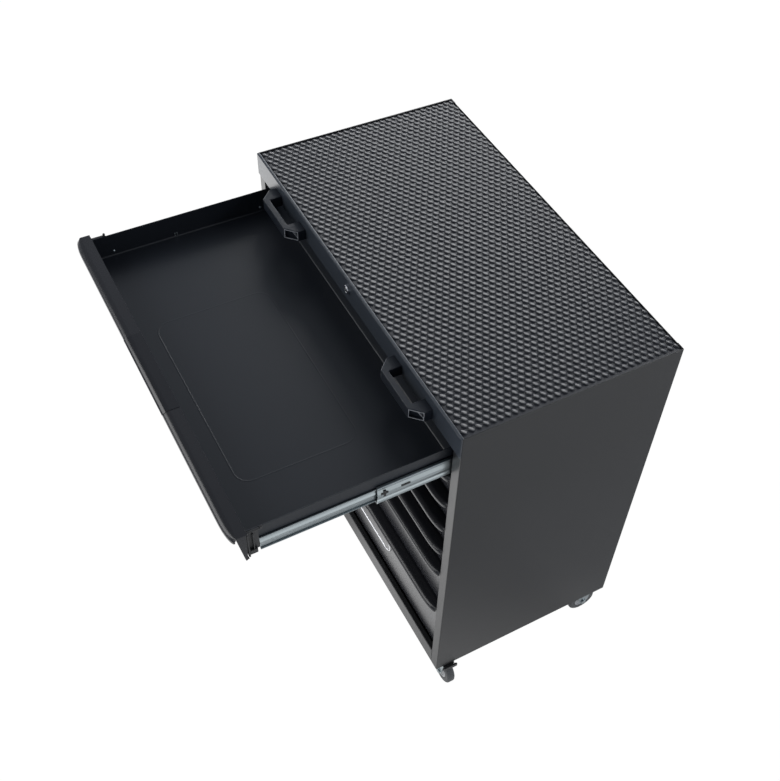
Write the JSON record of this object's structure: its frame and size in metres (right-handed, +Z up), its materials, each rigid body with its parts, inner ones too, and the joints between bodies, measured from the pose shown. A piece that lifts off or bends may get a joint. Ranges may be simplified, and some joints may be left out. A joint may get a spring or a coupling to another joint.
{
  "type": "rolling tool cabinet",
  "caption": "Wheeled steel tool cabinet with a ribbed rubber top, full-width drawer pulls, ball slides, a lock, two bow handles, and its top drawer standing open.",
  "frame": {"origin": "on the floor, under the middle of the steel body", "axes": "+X to the right as seen from the front, the drawers open towards -Y, +Z up"},
  "size_m": [0.948, 0.938, 1.002],
  "materials": {
    "body_paint": "satin charcoal powder coat",
    "front_paint": "satin charcoal powder coat on the drawer fronts",
    "drawer_paint": "satin charcoal powder coat inside the drawers",
    "ribbed_rubber": "moulded rubber with staggered studs",
    "bumper_rubber": "soft black rubber",
    "black_plastic": "fine-grained moulded plastic",
    "zinc_steel": "bright zinc plating",
    "chrome_plate": "polished chrome plating",
    "wheel_tread": "grey moulded tread",
    "hub_plastic": "pale grey moulded hub"
  },
  "bodies": {
    "root": {"side_panel_left": "body_paint", "side_panel_right": "body_paint", "back_panel": "body_paint", "bottom_panel": "body_paint", "top_panel": "body_paint", "front_top_rail": "body_paint", "front_bottom_rail": "body_paint", "rear_uprights": "body_paint", "top_mat": "ribbed_rubber", "rail_bumpers": "bumper_rubber", "cabinet_slide_members": "zinc_steel", "grab_handle_left": "black_plastic", "grab_handle_right": "black_plastic", "lock_housing": "chrome_plate", "front_caster_plates": "zinc_steel", "rear_caster_frames": "zinc_steel", "fasteners": "zinc_steel"},
    "lock": {"lock_plug": "chrome_plate", "lock_cam": "zinc_steel"},
    "drawer_1": {"drawer_1_box": "drawer_paint", "drawer_1_front": "front_paint", "drawer_1_runners": "zinc_steel"},
    "drawer_1_middle": {"drawer_1_middle_slides": "zinc_steel"},
    "drawer_2": {"drawer_2_box": "drawer_paint", "drawer_2_front": "front_paint", "drawer_2_runners": "zinc_steel"},
    "drawer_2_middle": {"drawer_2_middle_slides": "zinc_steel"},
    "drawer_3": {"drawer_3_box": "drawer_paint", "drawer_3_front": "front_paint", "drawer_3_runners": "zinc_steel"},
    "drawer_3_middle": {"drawer_3_middle_slides": "zinc_steel"},
    "drawer_4": {"drawer_4_box": "drawer_paint", "drawer_4_front": "front_paint", "drawer_4_runners": "zinc_steel"},
    "drawer_4_middle": {"drawer_4_middle_slides": "zinc_steel"},
    "drawer_5": {"drawer_5_box": "drawer_paint", "drawer_5_front": "front_paint", "drawer_5_runners": "zinc_steel"},
    "drawer_5_middle": {"drawer_5_middle_slides": "zinc_steel"},
    "drawer_6": {"drawer_6_box": "drawer_paint", "drawer_6_front": "front_paint", "drawer_6_runners": "zinc_steel"},
    "drawer_6_middle": {"drawer_6_middle_slides": "zinc_steel"},
    "drawer_7": {"drawer_7_box": "drawer_paint", "drawer_7_front": "front_paint", "drawer_7_runners": "zinc_steel", "badge_plate": "chrome_plate"},
    "drawer_7_middle": {"drawer_7_middle_slides": "zinc_steel"},
    "front_fork_left": {"front_fork_left": "zinc_steel"},
    "front_wheel_left": {"front_tyre_left": "wheel_tread", "front_hub_left": "hub_plastic"},
    "pedal_left": {"brake_pedal_left": "black_plastic"},
    "rear_wheel_left": {"rear_tyre_left": "wheel_tread", "rear_hub_left": "hub_plastic"},
    "front_fork_right": {"front_fork_right": "zinc_steel"},
    "front_wheel_right": {"front_tyre_right": "wheel_tread", "front_hub_right": "hub_plastic"},
    "pedal_right": {"brake_pedal_right": "black_plastic"},
    "rear_wheel_right": {"rear_tyre_right": "wheel_tread", "rear_hub_right": "hub_plastic"}
  },
  "joints": [
    {"name": "lock_turn", "type": "hinge", "parent": "root", "child": "lock", "pos_m": [0, -0.252, 0.979], "axis": [0, 1, 0], "range_deg": [0, 90]},
    {"name": "drawer_1_slide", "type": "slide", "parent": "root", "child": "drawer_1", "axis": [0, -1, 0], "range_m": [-0.428, 0]},
    {"name": "drawer_1_middle_slide", "type": "slide", "parent": "root", "child": "drawer_1_middle", "axis": [0, -1, 0], "range_m": [-0.214, 0]},
    {"name": "drawer_2_slide", "type": "slide", "parent": "root", "child": "drawer_2", "axis": [0, -1, 0], "range_m": [0, 0.428]},
    {"name": "drawer_2_middle_slide", "type": "slide", "parent": "root", "child": "drawer_2_middle", "axis": [0, -1, 0], "range_m": [0, 0.214]},
    {"name": "drawer_3_slide", "type": "slide", "parent": "root", "child": "drawer_3", "axis": [0, -1, 0], "range_m": [0, 0.428]},
    {"name": "drawer_3_middle_slide", "type": "slide", "parent": "root", "child": "drawer_3_middle", "axis": [0, -1, 0], "range_m": [0, 0.214]},
    {"name": "drawer_4_slide", "type": "slide", "parent": "root", "child": "drawer_4", "axis": [0, -1, 0], "range_m": [0, 0.428]},
    {"name": "drawer_4_middle_slide", "type": "slide", "parent": "root", "child": "drawer_4_middle", "axis": [0, -1, 0], "range_m": [0, 0.214]},
    {"name": "drawer_5_slide", "type": "slide", "parent": "root", "child": "drawer_5", "axis": [0, -1, 0], "range_m": [0, 0.428]},
    {"name": "drawer_5_middle_slide", "type": "slide", "parent": "root", "child": "drawer_5_middle", "axis": [0, -1, 0], "range_m": [0, 0.214]},
    {"name": "drawer_6_slide", "type": "slide", "parent": "root", "child": "drawer_6", "axis": [0, -1, 0], "range_m": [0, 0.428]},
    {"name": "drawer_6_middle_slide", "type": "slide", "parent": "root", "child": "drawer_6_middle", "axis": [0, -1, 0], "range_m": [0, 0.214]},
    {"name": "drawer_7_slide", "type": "slide", "parent": "root", "child": "drawer_7", "axis": [0, -1, 0], "range_m": [0, 0.428]},
    {"name": "drawer_7_middle_slide", "type": "slide", "parent": "root", "child": "drawer_7_middle", "axis": [0, -1, 0], "range_m": [0, 0.214]},
    {"name": "swivel_left", "type": "hinge", "parent": "root", "child": "front_fork_left", "pos_m": [-0.41, -0.2108, 0.088], "axis": [0, 0, 1], "continuous": true},
    {"name": "front_wheel_spin_left", "type": "hinge", "parent": "front_fork_left", "child": "front_wheel_left", "pos_m": [-0.436, -0.2108, 0.038], "axis": [0, 1, 0], "continuous": true},
    {"name": "brake_left", "type": "hinge", "parent": "front_fork_left", "child": "pedal_left", "pos_m": [-0.448, -0.2108, 0.0825], "axis": [0, -1, 0], "range_deg": [0, 8]},
    {"name": "rear_wheel_spin_left", "type": "hinge", "parent": "root", "child": "rear_wheel_left", "pos_m": [-0.426, 0.207, 0.038], "axis": [1, 0, 0], "continuous": true},
    {"name": "swivel_right", "type": "hinge", "parent": "root", "child": "front_fork_right", "pos_m": [0.41, -0.2108, 0.088], "axis": [0, 0, 1], "continuous": true},
    {"name": "front_wheel_spin_right", "type": "hinge", "parent": "front_fork_right", "child": "front_wheel_right", "pos_m": [0.436, -0.2108, 0.038], "axis": [0, 1, 0], "continuous": true},
    {"name": "brake_right", "type": "hinge", "parent": "front_fork_right", "child": "pedal_right", "pos_m": [0.448, -0.2108, 0.0825], "axis": [0, 1, 0], "range_deg": [0, 8]},
    {"name": "rear_wheel_spin_right", "type": "hinge", "parent": "root", "child": "rear_wheel_right", "pos_m": [0.426, 0.207, 0.038], "axis": [1, 0, 0], "continuous": true}
  ],
  "couplings": [
    {"joint": "drawer_1_middle_slide", "follows": "drawer_1_slide", "ratio": 0.5},
    {"joint": "drawer_2_middle_slide", "follows": "drawer_2_slide", "ratio": 0.5},
    {"joint": "drawer_3_middle_slide", "follows": "drawer_3_slide", "ratio": 0.5},
    {"joint": "drawer_4_middle_slide", "follows": "drawer_4_slide", "ratio": 0.5},
    {"joint": "drawer_5_middle_slide", "follows": "drawer_5_slide", "ratio": 0.5},
    {"joint": "drawer_6_middle_slide", "follows": "drawer_6_slide", "ratio": 0.5},
    {"joint": "drawer_7_middle_slide", "follows": "drawer_7_slide", "ratio": 0.5}
  ]
}
